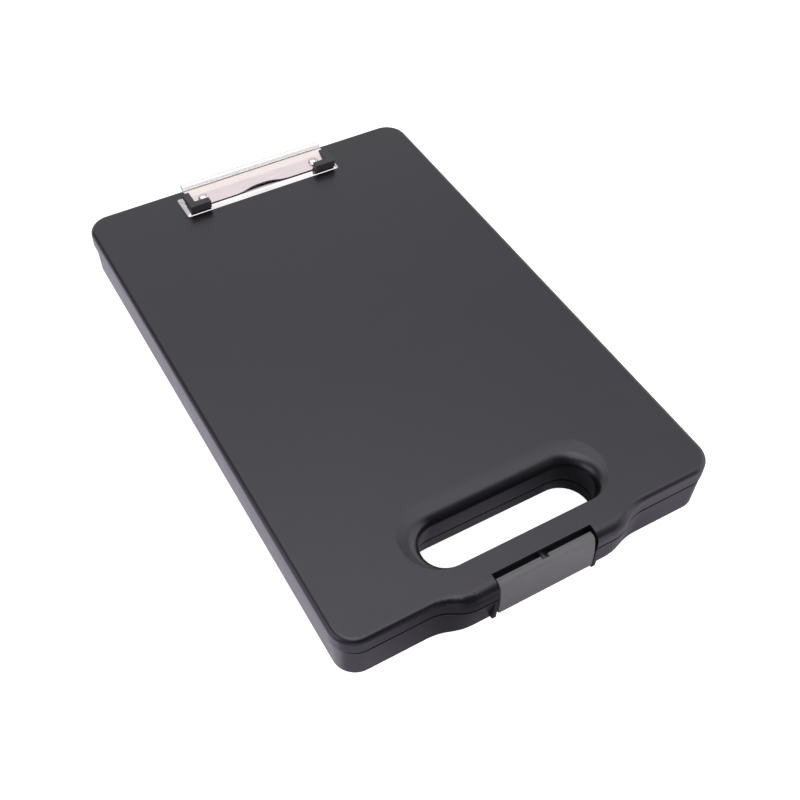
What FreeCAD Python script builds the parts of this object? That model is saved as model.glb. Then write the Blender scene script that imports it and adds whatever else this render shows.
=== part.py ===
import FreeCAD, Part
import math
import os

import Sketcher

# A storage clipboard box: a flat case whose lid carries a low steel paper clip.
# The near edge has an oblong grip hole, a swelling at its middle and a drop latch.
# X runs across the case, +Y runs away from the latch to the hinge, +Z is up.
# The origin is on the underside, at the middle of the lid's straight-sided outline.

os.makedirs("parts", exist_ok=True)
doc = FreeCAD.newDocument("clipboard_box")

# Driving sizes in millimetres
SIZES = {
    "lid_half_width": 120.0,
    "lid_half_length": 182.0,
    "lid_corner": 15.0,
    "lid_drop": 10.75,
    "lid_wall": 2.4,
    "lid_skin": 2.4,
    "lid_round": 3.5,
    "seam_gap": 1.35,
    "base_rise": 22.0,
    "base_side_inset": 1.5,
    "base_end_inset": 0.05,
    "base_corner": 13.8,
    "base_draft": 0.6,
    "base_wall": 2.4,
    "base_floor": 2.2,
    "base_foot_bevel": 0.5,
    "bulge_depth": 8.0,
    "bulge_flat": 43.0,
    "bulge_run": 26.0,
    "bulge_round": 7.4,
    "bulge_draft": 3.0,
    "slot_half_length": 54.6,
    "slot_far_reach": 13.8,
    "slot_near_reach": 16.4,
    "slot_inset": 32.0,
    "slot_waist_drop": 7.8,
    "slot_end_flare": 3.8,
    "slot_far_flare": 3.3,
    "slot_near_flare": 0.7,
    "slot_wall": 4.6,
    "slot_rib": 2.0,
    "tongue_height": 11.0,
    "funnel_end_spread": 10.7,
    "funnel_far_spread": 13.3,
    "funnel_near_spread": 1.6,
    "latch_half_width": 30.5,
    "latch_side_gap": 1.1,
    "latch_thickness": 2.0,
    "latch_proud": 8.5,
    "latch_lip_out": 1.4,
    "latch_lip_drop": 1.9,
    "latch_lip_flat": 1.5,
    "latch_brow_round": 3.6,
    "latch_chest_height": 15.0,
    "latch_foot_height": 8.5,
    "latch_web": 3.0,
    "latch_edge_round": 0.6,
    "latch_pivot_out": 4.5,
    "latch_pivot_height": 7.5,
    "latch_pin_radius": 1.2,
    "latch_pin_end": 33.4,
    "latch_knuckle": 2.3,
    "latch_notch_half": 2.3,
    "latch_notch_depth": 2.0,
    "latch_well_back": 1.4,
    "latch_ledge_drop": 4.4,
    "latch_groove_drop": 3.4,
    "base_recess_reach": 1.6,
    "lid_recess_reach": 3.9,
    "catch_half": 0.9,
    "catch_rise": 0.6,
    "catch_gap": 0.4,
    "ear_width": 2.2,
    "ear_drop": 0.2,
    "ear_bottom": 3.6,
    "ear_chin": 1.4,
    "ear_brow": 0.9,
    "hinge_gap": 0.4,
    "hinge_radius": 3.0,
    "hinge_pin_radius": 1.5,
    "hinge_inset": 44.0,
    "knuckle_half": 10.0,
    "knuckle_end": 9.0,
    "knuckle_gap": 0.3,
    "web_bite": 1.5,
    "running_gap": 0.05,
    "seat_gap": 0.02,
    "plate_side": 5.0,
    "plate_front": 12.4,
    "plate_back": 8.0,
    "plate_rise": 1.8,
    "plate_side_slope": 3.8,
    "plate_end_slope": 3.0,
    "plate_sheet": 0.8,
    "plate_wall": 1.5,
    "plate_corner": 1.6,
    "window_inset": 5.2,
    "window_span": 11.0,
    "window_front": 5.0,
    "window_back": 4.4,
    "clip_inset": 17.0,
    "rod_lift": 2.3,
    "rod_radius": 1.0,
    "rod_inset": 3.2,
    "lug_inset": 4.3,
    "lug_sheet": 0.9,
    "lug_half": 1.75,
    "lever_half_width": 52.2,
    "lever_sheet": 0.75,
    "lever_lift": 5.9,
    "lever_front": 8.6,
    "jaw_lift": 1.95,
    "lever_ear_inset": 6.0,
    "lever_ear_half": 1.9,
    "roll_back": 9.5,
    "roll_lift": 6.9,
    "roll_radius": 2.5,
    "roll_dip": 4.0,
    "roll_lap": 0.45,
    "scallop_flat": 2.0,
    "scallop_run": 19.0,
    "scallop_depth": 2.6,
    "grip_proud": 2.2,
    "grip_web": 2.5,
    "grip_run": 12.5,
    "grip_nose": 12.1,
    "grip_arm": 7.0,
    "grip_back": 3.6,
    "grip_cover": 0.45,
    "grip_heel": 1.0,
    "grip_relief_rise": 1.3,
    "grip_clearance": 0.05,
    "spring_wire": 0.3,
    "spring_coil": 1.5,
    "spring_inset": 14.8,
    "spring_pitch": 0.9,
    "spring_length": 7.2,
    "rivet_spread": 22.0,
    "rivet_radius": 1.5,
    "rivet_head": 3.0,
    "rivet_head_rise": 0.4,
    "rivet_tail": 2.4,
    "rivet_tail_rise": 0.9,
    "cup_radius": 4.6,
    "washer_radius": 4.0,
    "washer_sheet": 0.8,
    "overrun": 3.0,
}

# Places that follow from the sizes: the grip hole, latch, hinges and clip keep to their edge
PLACES = {
    "slot_centre": "lid_half_length - slot_inset",
    "latch_face": "lid_half_length + latch_proud",
    "latch_lip": "lid_half_length + latch_lip_out",
    "latch_lip_height": "base_rise + seam_gap + lid_drop - latch_lip_drop",
    "latch_pivot_reach": "lid_half_length + latch_pivot_out",
    "ear_top": "base_rise - ear_drop",
    "hinge_spread": "lid_half_width - hinge_inset",
    "rod_reach": "lid_half_length - clip_inset",
    "plate_near": "rod_reach - plate_front",
    "plate_far": "rod_reach + plate_back",
    "window_near": "rod_reach - window_front",
    "window_far": "rod_reach + window_back",
    "lever_near": "rod_reach - lever_front",
    "roll_reach": "rod_reach + roll_back",
    "grip_near": "rod_reach - grip_nose",
    "grip_front": "rod_reach - grip_arm",
    "grip_far": "rod_reach + grip_back",
    "grip_relief": "rod_reach - grip_heel",
    "plate_half_width": "lever_half_width + plate_side",
    "window_outer": "lever_half_width - window_inset",
    "window_inner": "window_outer - window_span",
    "rod_end": "lever_half_width - rod_inset",
    "lug_centre": "lever_half_width - lug_inset",
    "lever_ear_centre": "lever_half_width - lever_ear_inset",
    "grip_outer": "lever_half_width + grip_proud",
    "grip_inner": "lever_half_width - grip_web",
    "grip_end": "lever_half_width - grip_run",
    "spring_inner": "lever_half_width - spring_inset",
}

sheet = doc.addObject("Spreadsheet::Sheet", "size")
for row, (alias, number) in enumerate(SIZES.items(), start=1):
    sheet.set(f"A{row}", alias)
    sheet.set(f"B{row}", str(number))
    sheet.setAlias(f"B{row}", alias)
doc.recompute()
for row, (alias, formula) in enumerate(PLACES.items(), start=1):
    sheet.set(f"D{row}", alias)
    sheet.set(f"E{row}", f"={formula}")
    sheet.setAlias(f"E{row}", alias)
    doc.recompute()

# Lengths that several pieces share, written once in terms of the sheet
LID_BOTTOM = "(size.base_rise + size.seam_gap)"
LID_TOP = "(size.base_rise + size.seam_gap + size.lid_drop)"
LATCH_OPENING = "(size.latch_half_width + size.latch_side_gap)"
HINGE_REACH = "(size.lid_half_length + size.hinge_gap + size.hinge_radius)"
ROD_HEIGHT = f"({LID_TOP} + size.rod_lift)"
LEVER_BOTTOM = f"({LID_TOP} + size.lever_lift)"
LEVER_TOP = f"({LEVER_BOTTOM} + size.lever_sheet)"
PLATE_TOP = f"({LID_TOP} + size.plate_rise)"
JAW_BOTTOM = f"({LID_TOP} + size.jaw_lift)"
LEVER_BEND = "(size.roll_reach - size.roll_dip)"
LEVER_SLOPE = f"(({LEVER_BOTTOM} - {JAW_BOTTOM}) / ({LEVER_BEND} - size.lever_near))"
SIDES = {"left": -1, "right": 1}


def worth(text):
    """Return what an expression comes to with the sizes of the sheet."""
    result = sheet.evalExpression(text)
    return float(getattr(result, "Value", result))


def signed(side, text):
    """Mirror an expression to the side that is asked for."""
    return text if side > 0 else f"-({text})"


def lever_height(reach):
    """Height of the underside of the sloping lever at a reach along Y."""
    return f"({JAW_BOTTOM} + {LEVER_SLOPE} * ({reach} - size.lever_near))"


def new_body(label):
    """Start one solid of its own."""
    body = doc.addObject("PartDesign::Body", label)
    body.Label = label
    return body


def new_sketch(body, name, role, offset="0"):
    """Attach a sketch to one of the body's own planes, moved along its normal."""
    sketch = body.newObject("Sketcher::SketchObject", name)
    plane = next(item for item in body.Origin.OriginFeatures if item.Role == role)
    sketch.AttachmentSupport = (plane, "")
    sketch.MapMode = "FlatFace"
    if offset != "0":
        sketch.setExpression("AttachmentOffset.Base.z", offset)
    return sketch


def pin_point(sketch, geometry, position, across, along):
    """Tie a point of the sketch to two expressions."""
    for kind, text, axis in (("DistanceX", across, -2), ("DistanceY", along, -1)):
        if text is None:
            continue
        if text == "0":
            sketch.addConstraint(Sketcher.Constraint("PointOnObject", geometry, position, axis))
            continue
        constraint = Sketcher.Constraint(kind, -1, 1, geometry, position, worth(text))
        index = sketch.addConstraint(constraint)
        sketch.setExpression(f"Constraints[{index}]", text)


def draw_loop(sketch, path):
    """Draw a closed loop: each entry is a corner, and may hold the arc to the next one.

    A corner is (x, y) and an arc is (centre x, centre y, turn), with turn 1 for
    anticlockwise and -1 for clockwise.
    """
    count = len(path)
    starts = []
    ends = []
    for index in range(count):
        corner, arc = path[index]
        follower = path[(index + 1) % count][0]
        start = FreeCAD.Vector(worth(corner[0]), worth(corner[1]), 0)
        end = FreeCAD.Vector(worth(follower[0]), worth(follower[1]), 0)
        if arc is None:
            geometry = sketch.addGeometry(Part.LineSegment(start, end), False)
            starts.append((geometry, 1))
            ends.append((geometry, 2))
            continue
        centre = FreeCAD.Vector(worth(arc[0]), worth(arc[1]), 0)
        turn = arc[2]
        first, last = (start, end) if turn > 0 else (end, start)
        first_angle = math.atan2(first.y - centre.y, first.x - centre.x)
        last_angle = math.atan2(last.y - centre.y, last.x - centre.x)
        circle = Part.Circle(centre, FreeCAD.Vector(0, 0, 1), (first - centre).Length)
        shape = Part.ArcOfCircle(circle, first_angle, last_angle)
        geometry = sketch.addGeometry(shape, False)
        starts.append((geometry, 1 if turn > 0 else 2))
        ends.append((geometry, 2 if turn > 0 else 1))
        chord = end - start
        if abs(chord.x) < abs(chord.y):
            pin_point(sketch, geometry, 3, arc[0], None)
        else:
            pin_point(sketch, geometry, 3, None, arc[1])
    for index in range(count):
        after = (index + 1) % count
        sketch.addConstraint(Sketcher.Constraint("Coincident", *ends[index], *starts[after]))
    for index in range(count):
        corner = path[index][0]
        pin_point(sketch, *starts[index], *corner)


def draw_circle(sketch, across, along, radius):
    """Draw a circle whose centre and radius follow expressions."""
    centre = FreeCAD.Vector(worth(across), worth(along), 0)
    circle = Part.Circle(centre, FreeCAD.Vector(0, 0, 1), worth(radius))
    geometry = sketch.addGeometry(circle, False)
    pin_point(sketch, geometry, 3, across, along)
    index = sketch.addConstraint(Sketcher.Constraint("Radius", geometry, worth(radius)))
    sketch.setExpression(f"Constraints[{index}]", radius)


def rectangle(left, right, near, far):
    """Corners of an upright rectangle."""
    return [((left, near), None), ((right, near), None), ((right, far), None), ((left, far), None)]


def rounded_rectangle(half, near, far, corner):
    """Corners and arcs of a rectangle that is centred on X and has round corners."""
    return [
        ((f"-({half}) + {corner}", near), None),
        ((f"({half}) - {corner}", near), (f"({half}) - {corner}", f"{near} + {corner}", 1)),
        ((half, f"{near} + {corner}"), None),
        ((half, f"{far} - {corner}"), (f"({half}) - {corner}", f"{far} - {corner}", 1)),
        ((f"({half}) - {corner}", far), None),
        ((f"-({half}) + {corner}", far), (f"-({half}) + {corner}", f"{far} - {corner}", 1)),
        ((f"-({half})", f"{far} - {corner}"), None),
        ((f"-({half})", f"{near} + {corner}"), (f"-({half}) + {corner}", f"{near} + {corner}", 1)),
    ]


def swell_radius(run, depth):
    """Radius of the two equal arcs that carry an edge out by depth over a run."""
    return f"((({run}) ^ 2 + ({depth}) ^ 2) / (4 * ({depth})))"


def swelling(near, depth, flat, run, turn=1):
    """Points of a soft swelling of the near edge, from left to right.

    A scallop is a swelling with a negative depth, and its arcs turn the other way.
    """
    radius = swell_radius(run, depth)
    outer = f"(({flat}) + ({run}))"
    middle = f"(({flat}) + ({run}) / 2)"
    half_out = f"({near}) - ({depth}) / 2"
    full_out = f"({near}) - ({depth})"
    hollow = f"({near}) - {radius}"
    crown = f"({near}) - ({depth}) + {radius}"
    return [
        ((f"-{outer}", near), (f"-{outer}", hollow, -turn)),
        ((f"-{middle}", half_out), (f"-({flat})", crown, turn)),
        ((f"-({flat})", full_out), None),
        ((flat, full_out), (flat, crown, turn)),
        ((middle, half_out), (outer, hollow, -turn)),
        ((outer, near), None),
    ]


def case_outline(half, near, far, corner, depth):
    """Outline of the case with its swelling on the near edge."""
    plain = rounded_rectangle(half, near, far, corner)
    return plain[:1] + swelling(near, depth, "size.bulge_flat", "size.bulge_run") + plain[1:]


def oblong(half, near, far):
    """Outline of an oblong with half-round ends."""
    radius = f"((({far}) - ({near})) / 2)"
    middle = f"((({far}) + ({near})) / 2)"
    straight = f"(({half}) - {radius})"
    return [
        ((f"-{straight}", near), None),
        ((straight, near), (straight, middle, 1)),
        ((straight, far), None),
        ((f"-{straight}", far), (f"-{straight}", middle, 1)),
    ]


SLOT_NEAR = "(-size.slot_centre - size.slot_near_reach)"
SLOT_FAR = "(-size.slot_centre + size.slot_far_reach)"
WAIST_HEIGHT = f"({LID_TOP} - size.slot_waist_drop)"
# Rings of the funnel from the lid's top to the hole's waist: share of the waist's depth, and the
# share that is left of the spread at the ends, on the far side and on the near side
FUNNEL_RINGS = (
    ("0", "1", "1", "1"),
    ("0.012", "0.94", "0.94", "0.9"),
    ("0.097", "0.614", "0.494", "0.6"),
    ("0.144", "0.488", "0.392", "0.56"),
    ("0.219", "0.37", "0.298", "0.53"),
    ("0.322", "0.263", "0.211", "0.49"),
    ("0.447", "0.171", "0.138", "0.43"),
    ("0.595", "0.096", "0.077", "0.34"),
    ("0.79", "0.033", "0.026", "0.19"),
    ("1", "0", "0", "0"),
)


def slot_outline(end, far, near):
    """Outline of the grip hole's waist, made larger at its ends, far side and near side."""
    return oblong(f"(size.slot_half_length + {end})", f"({SLOT_NEAR} - {near})", f"({SLOT_FAR} + {far})")


def flared_slot(height):
    """Outline of the grip hole at a height under its waist, where its walls lean outward."""
    share = f"(({WAIST_HEIGHT} - {height}) / {WAIST_HEIGHT})"
    return slot_outline(
        f"size.slot_end_flare * {share}", f"size.slot_far_flare * {share}",
        f"size.slot_near_flare * {share}")


def pad(body, name, sketch, length, centred=False, turned=False):
    """Give the sketch a thickness."""
    feature = body.newObject("PartDesign::Pad", name)
    feature.Profile = sketch
    feature.setExpression("Length", length)
    feature.Midplane = centred
    feature.Reversed = turned
    return feature


def cut(body, name, sketch, length, centred=False, turned=False):
    """Take the sketch out of the body, and make sure that something went."""
    doc.recompute()
    before = body.Shape.Volume
    feature = body.newObject("PartDesign::Pocket", name)
    feature.Profile = sketch
    feature.setExpression("Length", length)
    feature.Midplane = centred
    feature.Reversed = turned
    doc.recompute()
    if body.Shape.Volume >= before:
        raise RuntimeError(f"{name} cuts nothing")
    return feature


def loft(body, kind, name, first, others):
    """Join outlines by straight-ruled walls."""
    feature = body.newObject(kind, name)
    feature.Profile = first
    feature.Sections = others
    feature.Ruled = True
    return feature


def edge_names(shape, wanted):
    """Name the edges whose two ends and middle all pass the test."""
    names = []
    for index, edge in enumerate(shape.Edges, start=1):
        middle = edge.valueAt((edge.FirstParameter + edge.LastParameter) / 2)
        points = [vertex.Point for vertex in edge.Vertexes] + [middle]
        if all(wanted(point) for point in points):
            names.append(f"Edge{index}")
    return names


def round_edges(body, name, wanted, radius):
    """Round the chosen edges of the body's last feature."""
    doc.recompute()
    tip = body.Tip
    feature = body.newObject("PartDesign::Fillet", name)
    feature.Base = (tip, edge_names(tip.Shape, wanted))
    feature.setExpression("Radius", radius)
    return feature


def rod_along_x(label, radius, left, right, reach, height):
    """A plain round pin that lies across the case."""
    rod = doc.addObject("Part::Cylinder", label)
    rod.Label = label
    rod.setExpression("Radius", radius)
    rod.setExpression("Height", f"({right}) - ({left})")
    rod.Placement = FreeCAD.Placement(FreeCAD.Vector(), FreeCAD.Rotation(FreeCAD.Vector(0, 1, 0), 90))
    rod.setExpression("Placement.Base.x", left)
    rod.setExpression("Placement.Base.y", reach)
    rod.setExpression("Placement.Base.z", height)
    return rod


def at_height(text):
    """Test whether a point lies at a height."""
    height = worth(text)
    return lambda point: abs(point.z - height) < TOUCH


TOUCH = 1e-4
parts = []


# Lower shell: a moulded tray with the grip tunnel, latch recess, ears and hinge knuckles
def make_base_shell():
    body = new_body("base_shell")
    half = "size.lid_half_width - size.base_side_inset"
    near = "(-size.lid_half_length + size.base_end_inset)"
    far = "(size.lid_half_length - size.base_end_inset)"
    levels = {
        "foot": ("(size.base_draft + size.base_foot_bevel)", "0"),
        "waist": ("size.base_draft", "size.base_foot_bevel"),
        "rim": ("0", "size.base_rise"),
    }
    sections = []
    for name, (inset, height) in levels.items():
        section = new_sketch(body, f"base_{name}", "XY_Plane", height)
        depth = "size.bulge_depth" if name == "rim" else "(size.bulge_depth - size.bulge_draft)"
        draw_loop(section, case_outline(
            f"({half} - {inset})", f"({near} + {inset})", f"({far} - {inset})",
            f"(size.base_corner - {inset})", depth))
        sections.append(section)
    loft(body, "PartDesign::AdditiveLoft", "base_block", sections[0], sections[1:])

    hollow = new_sketch(body, "base_hollow", "XY_Plane", "size.base_floor")
    draw_loop(hollow, rounded_rectangle(
        f"({half} - size.base_wall)", f"({near} + size.base_wall)", f"({far} - size.base_wall)",
        "(size.base_corner - size.base_wall)"))
    cut(body, "base_hollow_cut", hollow, "size.base_rise", turned=True)

    tunnel = new_sketch(body, "base_tunnel", "XY_Plane")
    draw_loop(tunnel, slot_outline(
        "size.slot_end_flare + size.slot_rib", "size.slot_far_flare + size.slot_rib",
        "size.slot_near_flare + size.slot_rib"))
    pad(body, "base_tunnel_pad", tunnel, "size.tongue_height - size.seam_gap")
    foot = new_sketch(body, "base_slot_foot", "XY_Plane")
    draw_loop(foot, flared_slot("0"))
    mouth = new_sketch(body, "base_slot_mouth", "XY_Plane", "size.tongue_height")
    draw_loop(mouth, flared_slot("size.tongue_height"))
    loft(body, "PartDesign::SubtractiveLoft", "base_slot", foot, [mouth])

    recess = new_sketch(body, "base_latch_recess", "XY_Plane")
    draw_loop(recess, rectangle(
        f"-{LATCH_OPENING}", LATCH_OPENING, "-size.latch_face - size.overrun",
        "-size.lid_half_length - size.base_recess_reach"))
    cut(body, "base_latch_recess_cut", recess, "size.base_rise + size.overrun", turned=True)
    add_latch_ears(body)
    add_knuckles(body, "base")
    return body


def ear_outline():
    """Side view of an ear beside the latch: flat back, round brow and chin."""
    back = "-size.lid_half_length - size.base_recess_reach"
    brow = "(-size.lid_half_length - size.bulge_depth)"
    return [
        ((back, "size.ear_top"), None),
        ((f"{brow} + size.ear_brow", "size.ear_top"),
         (f"{brow} + size.ear_brow", "size.ear_top - size.ear_brow", 1)),
        ((brow, "size.ear_top - size.ear_brow"), None),
        ((brow, "size.ear_bottom + size.ear_chin"),
         (f"{brow} + size.ear_chin", "size.ear_bottom + size.ear_chin", 1)),
        ((f"{brow} + size.ear_chin", "size.ear_bottom"), None),
        ((back, "size.ear_bottom"), None),
    ]


def add_latch_ears(body):
    """The two ears that carry the latch pin and stand proud of the drafted wall."""
    for name, side in SIDES.items():
        inner = signed(side, LATCH_OPENING)
        ear = new_sketch(body, f"ear_{name}", "YZ_Plane", inner)
        draw_loop(ear, ear_outline())
        pad(body, f"ear_{name}_pad", ear, "size.ear_width", turned=side < 0)
    hole = new_sketch(body, "latch_pin_hole", "YZ_Plane")
    draw_circle(hole, "-size.latch_pivot_reach", "size.latch_pivot_height",
                "size.latch_pin_radius + size.seat_gap")
    cut(body, "latch_pin_hole_cut", hole, "2 * (size.latch_pin_end + size.seat_gap)", centred=True)


def knuckle_outline(which):
    """Side view of a hinge knuckle: a round eye and the web that carries it."""
    wall = "size.lid_half_length - size.web_bite"
    axis = "size.base_rise"
    radius = "size.hinge_radius"
    if which == "lid":
        start = f"{HINGE_REACH} - sqrt({radius} ^ 2 - size.seam_gap ^ 2)"
        return [
            ((wall, LID_BOTTOM), None),
            ((start, LID_BOTTOM), (HINGE_REACH, axis, 1)),
            ((HINGE_REACH, f"{axis} + {radius}"), None),
            ((wall, f"{axis} + {radius}"), None),
        ]
    return [
        ((wall, f"{axis} - {radius}"), None),
        ((HINGE_REACH, f"{axis} - {radius}"), (HINGE_REACH, axis, 1)),
        ((f"{HINGE_REACH} - {radius}", axis), None),
        ((wall, axis), None),
    ]


def knuckle_spans(which):
    """Where the knuckles of the base or of the lid start along X, and how long they are."""
    spans = []
    for name, side in SIDES.items():
        middle = signed(side, "size.hinge_spread")
        if which == "lid":
            spans.append((f"{name}_middle", f"{middle} - size.knuckle_half", "2 * size.knuckle_half"))
            continue
        first = f"{middle} - size.knuckle_half - size.knuckle_gap - size.knuckle_end"
        spans.append((f"{name}_first", first, "size.knuckle_end"))
        second = f"{middle} + size.knuckle_half + size.knuckle_gap"
        spans.append((f"{name}_second", second, "size.knuckle_end"))
    return spans


def add_knuckles(body, which):
    """Add the hinge knuckles of one shell, and bore them for the pins."""
    for name, start, length in knuckle_spans(which):
        knuckle = new_sketch(body, f"{which}_knuckle_{name}", "YZ_Plane", start)
        draw_loop(knuckle, knuckle_outline(which))
        pad(body, f"{which}_knuckle_{name}_pad", knuckle, length)
    gap = "size.running_gap" if which == "lid" else "size.seat_gap"
    bore = new_sketch(body, f"{which}_hinge_bore", "YZ_Plane")
    draw_circle(bore, HINGE_REACH, "size.base_rise", f"size.hinge_pin_radius + {gap}")
    cut(body, f"{which}_hinge_bore_cut", bore, "2 * size.lid_half_width", centred=True)


# Upper shell: a shallow moulded lid with a funnel round the grip hole
def make_lid_block():
    """The lid as a solid block whose top edge is rounded more over the swelling."""
    block = new_body("lid_block")
    outline = new_sketch(block, "lid_outline", "XY_Plane", LID_BOTTOM)
    draw_loop(outline, case_outline(
        "size.lid_half_width", "(-size.lid_half_length)", "size.lid_half_length",
        "size.lid_corner", "size.bulge_depth"))
    pad(block, "lid_block_pad", outline, "size.lid_drop")
    doc.recompute()
    rounded = doc.addObject("Part::Fillet", "lid_rounded")
    rounded.Base = block
    top = at_height(LID_TOP)
    wall = worth("-size.lid_half_length")
    depth = worth("size.bulge_depth")
    small = worth("size.lid_round")
    large = worth("size.bulge_round")

    def radius_at(point):
        share = min(max((wall - point.y) / depth, 0), 1)
        return small + (large - small) * share

    edges = []
    for index, edge in enumerate(block.Shape.Edges, start=1):
        ends = [edge.valueAt(edge.FirstParameter), edge.valueAt(edge.LastParameter)]
        if not all(top(point) for point in ends):
            continue
        if ends[0].cross(ends[1]).z < 0:
            ends.reverse()
        edges.append((index, radius_at(ends[0]), radius_at(ends[1])))
    rounded.Edges = edges
    return rounded


def make_lid_shell():
    rounded = make_lid_block()
    doc.recompute()
    body = new_body("lid_shell")
    body.BaseFeature = rounded
    hollow = new_sketch(body, "lid_hollow", "XY_Plane", LID_BOTTOM)
    draw_loop(hollow, rounded_rectangle(
        "(size.lid_half_width - size.lid_wall)", "(-size.lid_half_length + size.lid_wall)",
        "(size.lid_half_length - size.lid_wall)", "(size.lid_corner - size.lid_wall)"))
    draw_loop(hollow, slot_outline("size.slot_wall", "size.slot_wall", "size.slot_wall"))
    cut(body, "lid_hollow_cut", hollow, "size.lid_drop - size.lid_skin", turned=True)
    tongue = new_sketch(body, "lid_tongue", "XY_Plane", "size.tongue_height")
    draw_loop(tongue, slot_outline("size.slot_wall", "size.slot_wall", "size.slot_wall"))
    pad(body, "lid_tongue_pad", tongue, f"{LID_TOP} - size.lid_skin - size.tongue_height")

    rings = []
    for depth, end, far, near in FUNNEL_RINGS:
        ring = new_sketch(body, f"funnel_ring_{len(rings)}", "XY_Plane",
                          f"{LID_TOP} - size.slot_waist_drop * {depth}")
        draw_loop(ring, slot_outline(
            f"size.funnel_end_spread * {end}", f"size.funnel_far_spread * {far}",
            f"size.funnel_near_spread * {near}"))
        rings.append(ring)
    mouth = new_sketch(body, "tongue_mouth", "XY_Plane", "size.tongue_height")
    draw_loop(mouth, flared_slot("size.tongue_height"))
    rings.append(mouth)
    loft(body, "PartDesign::SubtractiveLoft", "funnel", rings[0], rings[1:])

    recess = new_sketch(body, "lid_latch_recess", "XY_Plane", LID_BOTTOM)
    draw_loop(recess, rectangle(
        f"-{LATCH_OPENING}", LATCH_OPENING, "-size.latch_face - size.overrun",
        "-size.lid_half_length - size.lid_recess_reach"))
    cut(body, "lid_latch_recess_cut", recess, "size.lid_drop + size.overrun", turned=True)
    ledge = f"{LID_TOP} - size.latch_ledge_drop"
    well = new_sketch(body, "lid_latch_well", "XY_Plane", ledge)
    draw_loop(well, rectangle(
        f"-{LATCH_OPENING}", LATCH_OPENING, "-size.latch_face - size.overrun",
        "-size.lid_half_length + size.latch_well_back"))
    cut(body, "lid_latch_well_cut", well, "size.latch_ledge_drop + size.overrun", turned=True)
    groove = new_sketch(body, "lid_latch_groove", "XY_Plane", f"{ledge} - size.latch_groove_drop")
    draw_loop(groove, rectangle(
        f"-{LATCH_OPENING}", LATCH_OPENING, "-size.latch_lip",
        "-size.lid_half_length + size.latch_well_back"))
    cut(body, "lid_latch_groove_cut", groove, "size.latch_groove_drop + size.overrun", turned=True)
    catch = new_sketch(body, "lid_catch", "XY_Plane", ledge)
    draw_loop(catch, rectangle(
        "-size.catch_half", "size.catch_half",
        "-size.latch_lip - size.latch_notch_depth + size.catch_gap",
        "-size.lid_half_length + size.latch_well_back"))
    pad(body, "lid_catch_pad", catch, "size.catch_rise")
    add_knuckles(body, "lid")
    for name, side in SIDES.items():
        hole = new_sketch(body, f"lid_rivet_hole_{name}", "XY_Plane", LID_BOTTOM)
        draw_circle(hole, signed(side, "size.rivet_spread"), "size.rod_reach",
                    "size.rivet_radius + size.seat_gap")
        cut(body, f"lid_rivet_hole_{name}_cut", hole, "size.lid_drop + size.overrun", turned=True)
    return body


# Latch: a curved drop plate that turns on its pin at the bottom and hooks over the lid
def latch_outline():
    """Side view of the latch, as one sheet that ends in a knuckle."""
    face = "(-size.latch_face)"
    brow_y = "(-size.latch_lip - size.latch_lip_flat)"
    brow_z = "(size.latch_lip_height - size.latch_brow_round)"
    inset = f"({brow_y} - {face})"
    rise = f"({brow_z} - size.latch_chest_height)"
    radius = "size.latch_brow_round"
    chest = f"(({inset} ^ 2 + {rise} ^ 2 - {radius} ^ 2) / (2 * ({inset} - {radius})))"
    chest_y = f"({face} + {chest})"
    chest_z = "size.latch_chest_height"
    lean_y = f"(({brow_y} - {chest_y}) / ({chest} - {radius}))"
    lean_z = f"({rise} / ({chest} - {radius}))"
    inner = f"({chest} - size.latch_thickness)"
    pivot_y = "(-size.latch_pivot_reach)"
    pivot_z = "size.latch_pivot_height"
    eye = "size.latch_knuckle"
    back = f"({face} + size.latch_thickness)"
    return [
        (("-size.latch_lip", "size.latch_lip_height"), None),
        ((brow_y, "size.latch_lip_height"), (brow_y, brow_z, 1)),
        ((f"{chest_y} + {chest} * {lean_y}", f"{chest_z} + {chest} * {lean_z}"), (chest_y, chest_z, 1)),
        ((face, chest_z), None),
        ((face, "size.latch_foot_height"), None),
        ((f"{pivot_y} - {eye}", pivot_z), (pivot_y, pivot_z, 1)),
        ((pivot_y, f"{pivot_z} + {eye}"), None),
        ((back, "size.latch_foot_height + size.latch_web"), None),
        ((back, chest_z), (chest_y, chest_z, -1)),
        ((f"{chest_y} + {inner} * {lean_y}", f"{chest_z} + {inner} * {lean_z}"), (brow_y, brow_z, -1)),
        ((brow_y, "size.latch_lip_height - size.latch_thickness"), None),
        (("-size.latch_lip", "size.latch_lip_height - size.latch_thickness"), None),
    ]


def make_latch_cover():
    body = new_body("latch_cover")
    profile = new_sketch(body, "latch_profile", "YZ_Plane")
    draw_loop(profile, latch_outline())
    pad(body, "latch_plate", profile, "2 * size.latch_half_width", centred=True)
    hole = new_sketch(body, "latch_bore", "YZ_Plane")
    draw_circle(hole, "-size.latch_pivot_reach", "size.latch_pivot_height",
                "size.latch_pin_radius + size.running_gap")
    cut(body, "latch_bore_cut", hole, "2 * (size.latch_half_width + size.overrun)", centred=True)
    notch = new_sketch(body, "latch_notch", "XY_Plane", "size.latch_lip_height + size.overrun")
    draw_loop(notch, rectangle(
        "-size.latch_notch_half", "size.latch_notch_half",
        "-size.latch_lip - size.latch_notch_depth", "-size.latch_lip + size.overrun"))
    cut(body, "latch_notch_cut", notch, "size.latch_thickness + 2 * size.overrun")
    side = worth("size.latch_half_width")
    floor = worth("size.latch_foot_height") + worth("size.latch_web")
    round_edges(body, "latch_side_round",
                lambda point: abs(abs(point.x) - side) < TOUCH and point.z > floor - TOUCH,
                "size.latch_edge_round")
    return body


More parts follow.
